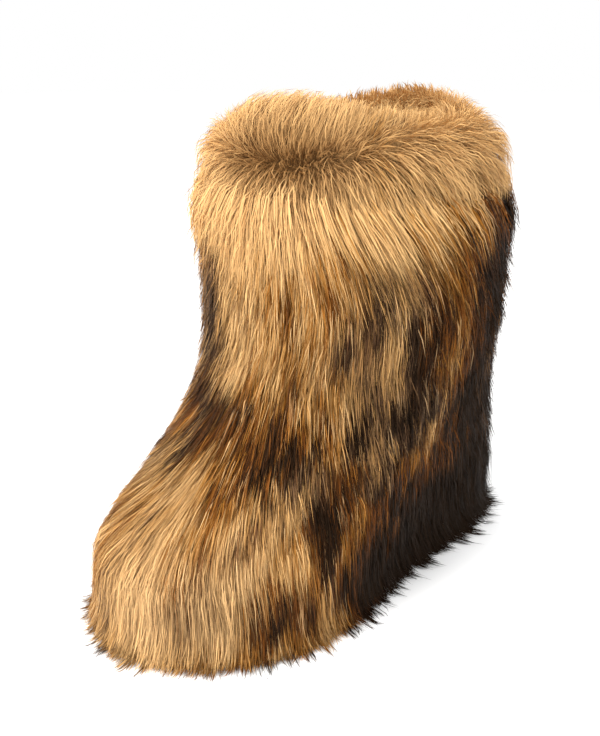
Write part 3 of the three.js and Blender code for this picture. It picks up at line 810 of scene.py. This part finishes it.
def slab(name, keep):
    """A closed form between the upper and the under-fur's face, on the cells where keep says so."""
    v = np.linspace(SLAB_LOW, SLAB_HIGH, SLAB_ROWS)
    a = np.arange(UNDER_ANGLES) * TURN / UNDER_ANGLES
    vv, aa = np.meshgrid(v, a, indexing="ij")
    flat_v, flat_a = vv.ravel(), aa.ravel()
    depth = UNDER_DEPTH * smooth((12.0 - flat_v) / 0.5 + 0.35) * np.interp(flat_v, (0, 1.2), (0.9, 1))
    outer = place(flat_v, flat_a, depth)
    inner = mix(at(SHELL, flat_v, flat_a), at(FUR, flat_v, flat_a), 0.03)
    inner[:, 2] = np.maximum(inner[:, 2], 0.004)
    used = keep(place(flat_v, flat_a, np.ones(flat_v.size))).reshape(vv.shape)
    cells = used[:-1] & np.roll(used, -1, 1)[:-1] & used[1:] & np.roll(used, -1, 1)[1:]
    wide, total = UNDER_ANGLES, flat_v.size
    faces = []
    for i, j in zip(*np.nonzero(cells)):
        k = (j + 1) % wide
        p, q, r, s = i * wide + j, i * wide + k, (i + 1) * wide + k, (i + 1) * wide + j
        faces.append((p, q, r, s))
        faces.append((s + total, r + total, q + total, p + total))
        around = (((i - 1, j), (q, p)), ((i + 1, j), (s, r)), ((i, (j - 1) % wide), (p, s)), ((i, k), (r, q)))
        for (ni, nj), (one, two) in around:
            if not (0 <= ni < cells.shape[0] and cells[ni, nj]):
                faces.append((one, two, two + total, one + total))
    points = np.concatenate([outer, inner])
    keep_points = np.unique(np.array(faces).ravel())
    renumber = -np.ones(len(points), int)
    renumber[keep_points] = np.arange(len(keep_points))
    obj = mesh_object(name, points[keep_points].tolist(), renumber[np.array(faces)].tolist())
    doubled = np.concatenate([flat_v, flat_v])[keep_points], np.concatenate([flat_a, flat_a])[keep_points]
    paint(obj, under_colours(*doubled, 0.45))
    return obj


# Inside the boot

def plush_lining():
    """Short plush on the upper's inner face, below the fur tucked over its edge."""
    a = np.arange(UNDER_ANGLES) * TURN / UNDER_ANGLES
    full = np.ones(UNDER_ANGLES)

    def inside(v, away):
        flat = at(OUTWARD, full * max(v, 0.6), a)
        return at(SHELL, full * v, a) - flat * (WALL + away)[:, None] * MM

    rows = []
    for v in np.linspace(LINING_LOW, LINING_HIGH, LINING_ROWS):
        p = inside(v, full * 1.6)
        rows.append(inside(v, 1.2 + 1.5 * lumps(p, 0.005, 1) + 0.6 * lumps(p, 0.0022, 2)))
    for v in np.linspace(LINING_HIGH, LINING_LOW, 8):
        rows.append(inside(v, full * 0.25))
    return grid_mesh("plush_lining", rows)


def fleece_insole():
    """A fleece-topped footbed pad, crowned a little and tufted."""
    inset = INSET + WALL + INSOLE_CLEARANCE
    along, across = 90, 26
    angle = np.linspace(0.04, math.pi - 0.04, along)
    front, back = TOE_TIP + inset, HEEL_REACH - inset
    one, y = loop(front, back, BALL_WIDTH / 2 - inset, HEEL_WIDTH / 2 - inset, 1, angle)
    other, _ = loop(front, back, BALL_WIDTH / 2 - inset, HEEL_WIDTH / 2 - inset, 1, -angle)
    share = np.linspace(0, 1, across)[None, :]
    x = mix(one[:, None], other[:, None], share)
    z = np.broadcast_to(footbed(y)[:, None] + GAP, x.shape)
    flat = np.stack([x, np.broadcast_to(y[:, None], x.shape), z], -1) * MM
    ends = np.minimum(np.arange(along), np.arange(along)[::-1])[:, None]
    edge = np.minimum(np.minimum(share, 1 - share) * 12, ends / 3)
    crown = 0.5 + 0.5 * np.sqrt(np.clip(edge, 0, 1))
    tufts = 0.9 * lumps(flat, 0.004, 3) + 0.5 * lumps(flat, 0.0019, 4)
    top = flat.copy()
    top[..., 2] += (INSOLE_THICKNESS - 0.4 + tufts) * crown * MM
    points = np.concatenate([top.reshape(-1, 3), flat.reshape(-1, 3)])
    total = along * across
    faces = []
    for i in range(along - 1):
        for j in range(across - 1):
            p, q, r, s = i * across + j, i * across + j + 1, (i + 1) * across + j + 1, (i + 1) * across + j
            faces += [(p, q, r, s), (s + total, r + total, q + total, p + total)]
    rim = list(range(across)) + [i * across + across - 1 for i in range(1, along)]
    rim += [(along - 1) * across + j for j in range(across - 2, -1, -1)]
    rim += [i * across for i in range(along - 2, 0, -1)]
    for k, p in enumerate(rim):
        q = rim[(k + 1) % len(rim)]
        faces.append((q, p, p + total, q + total))
    return mesh_object("fleece_insole", points.tolist(), faces)


def make_inside():
    plush, shader = textured("plush", tone(170, 126, 78), tone(232, 194, 140), 420, (0.85, 0.98), 0.9, 0.002)
    shader.inputs["Sheen Weight"].default_value = 0.5
    shader.inputs["Sheen Tint"].default_value = (*tone(214, 190, 156), 1)
    fleece, shader = textured("fleece", tone(204, 160, 106), tone(246, 218, 170), 380, (0.85, 0.98), 0.9,
                              0.002)
    shader.inputs["Sheen Weight"].default_value = 0.5
    backing, _ = textured("backing", tone(84, 62, 40), tone(138, 106, 72), 900, (0.8, 0.95), 0.5, 0.0006)
    rubber, _ = textured("sole_rubber", tone(28, 25, 23), tone(52, 46, 42), 1400, (0.55, 0.85), 0.35, 0.0004)
    dress(plush_lining(), plush)
    pad = dress(fleece_insole(), fleece)
    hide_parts("insole")
    for node, mat in (("upper", backing), ("outsole", rubber)):
        obj = bpy.data.objects[node]
        obj.data.materials.clear()
        obj.data.materials.append(mat)


# Making the boot

FUR_GOLD = fur_material("fur_gold")
FUR_VAMP = fur_material("fur_vamp")
FUR_DARK = fur_material("fur_dark")

CLUMPS, PER_CLUMP = 4500, 8


def behind_seam(points):
    return ~before_seam(points)


def make_fur():
    collar = pile("collar_pile", COLLAR_LOW, 13.9, CLUMPS, PER_CLUMP, 46, drift=parting_drift, tuft=0.55)
    rim = rim_pile("collar_rim_pile", CLUMPS, PER_CLUMP)
    leg = pile("leg_pile", 8.2, COLLAR_LOW + 0.4, CLUMPS, PER_CLUMP, 44, keep=behind_seam, gravity=1.0)
    quarter = pile("quarter_pile", 0.4, 8.3, CLUMPS, PER_CLUMP, 40, keep=behind_seam, gravity=1.0)
    vamp = pile("vamp_pile", 0.4, 9.5, CLUMPS, PER_CLUMP, 46, keep=before_seam, gravity=0.85)
    under = collar_under()
    under_vamp = slab("vamp_underfur", before_seam)
    under_shaft = slab("shaft_underfur", behind_seam)
    for obj in (collar, rim):
        dress(obj, FUR_GOLD)
    for obj in (leg, quarter):
        dress(obj, FUR_DARK)
    dress(vamp, FUR_VAMP)
    for obj, slot in ((under, "fur_gold"), (under_shaft, "fur_dark"), (under_vamp, "fur_vamp")):
        tints = (0.5, 0.46, 0.42), (1.25, 1.22, 1.18)
        mat, shader = textured(slot + "_under", *tints, 1, (0.7, 0.9), 0.9, 0.0015, (900, 900, 70), "fur")
        shader.inputs["Specular IOR Level"].default_value = 0.08
        dress(obj, mat)
    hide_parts("fur_collar")
    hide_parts("fur_vamp")
    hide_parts("fur_shaft")


# Floor, light and camera

def area_light(name, place, aim, size, power, colour=(1, 1, 1)):
    light = bpy.data.lights.new(name, "AREA")
    light.shape = "DISK"
    light.size = size
    light.energy = power
    light.color = colour
    obj = bpy.data.objects.new(name, light)
    obj.location = place
    obj.rotation_euler = (Vector(aim) - Vector(place)).to_track_quat("-Z", "Y").to_euler()
    bpy.context.scene.collection.objects.link(obj)


CAMERA_AZIMUTH, CAMERA_HEIGHT_ANGLE, CAMERA_DISTANCE = 42, 20, 0.6
CAMERA_TARGET = (-0.015, -0.0685, 0.131)
CAMERA_LENS = 43
SENSOR_WIDTH = 36
FLOOR_POINTS = 96  # round each ring of the floor's disc
FLOOR_RINGS = (0.001, 1, 7)  # radii of the rings, in metres


def make_floor():
    edge = np.arange(FLOOR_POINTS) * TURN / FLOOR_POINTS
    circle = np.stack([np.cos(edge), np.sin(edge), np.zeros(FLOOR_POINTS)], -1)
    points = np.concatenate([reach * circle for reach in FLOOR_RINGS])
    faces = []
    for ring in range(len(FLOOR_RINGS) - 1):
        near, far = ring * FLOOR_POINTS, (ring + 1) * FLOOR_POINTS
        for k in range(FLOOR_POINTS):
            following = (k + 1) % FLOOR_POINTS
            faces.append((near + k, far + k, far + following, near + following))
    floor = mesh_object("floor", points.tolist(), faces, rounded=False)
    mat, _, _, shader = new_material("floor", 0.9)
    shader.inputs["Base Color"].default_value = (1, 1, 1, 1)
    shader.inputs["Specular IOR Level"].default_value = 0
    floor.data.materials.append(mat)


def make_light():
    world = bpy.data.worlds.new("studio")
    world.use_nodes = True
    world.node_tree.nodes["Background"].inputs["Color"].default_value = (1, 1, 1, 1)
    world.node_tree.nodes["Background"].inputs["Strength"].default_value = 1.0
    bpy.context.scene.world = world
    aim = (0, -0.05, 0.15)
    area_light("key", (-0.5, -1.3, 1.3), aim, 1.3, 44, (1, 0.98, 0.95))
    area_light("fill", (1.4, -0.9, 0.7), aim, 1.2, 7)
    area_light("top", (0.15, 0.1, 1.7), aim, 1.0, 12)


def make_camera():
    azimuth, rise = math.radians(CAMERA_AZIMUTH), math.radians(CAMERA_HEIGHT_ANGLE)
    back = Vector((math.sin(azimuth) * math.cos(rise), -math.cos(azimuth) * math.cos(rise), math.sin(rise)))
    camera = bpy.data.cameras.new("camera")
    camera.lens = CAMERA_LENS
    camera.sensor_width = SENSOR_WIDTH
    obj = bpy.data.objects.new("camera", camera)
    obj.location = Vector(CAMERA_TARGET) + back * CAMERA_DISTANCE
    obj.rotation_euler = back.to_track_quat("Z", "Y").to_euler()
    bpy.context.scene.collection.objects.link(obj)
    bpy.context.scene.camera = obj
    bpy.context.scene.view_settings.view_transform = "Standard"


make_floor()
make_light()
make_camera()
make_inside()
make_fur()
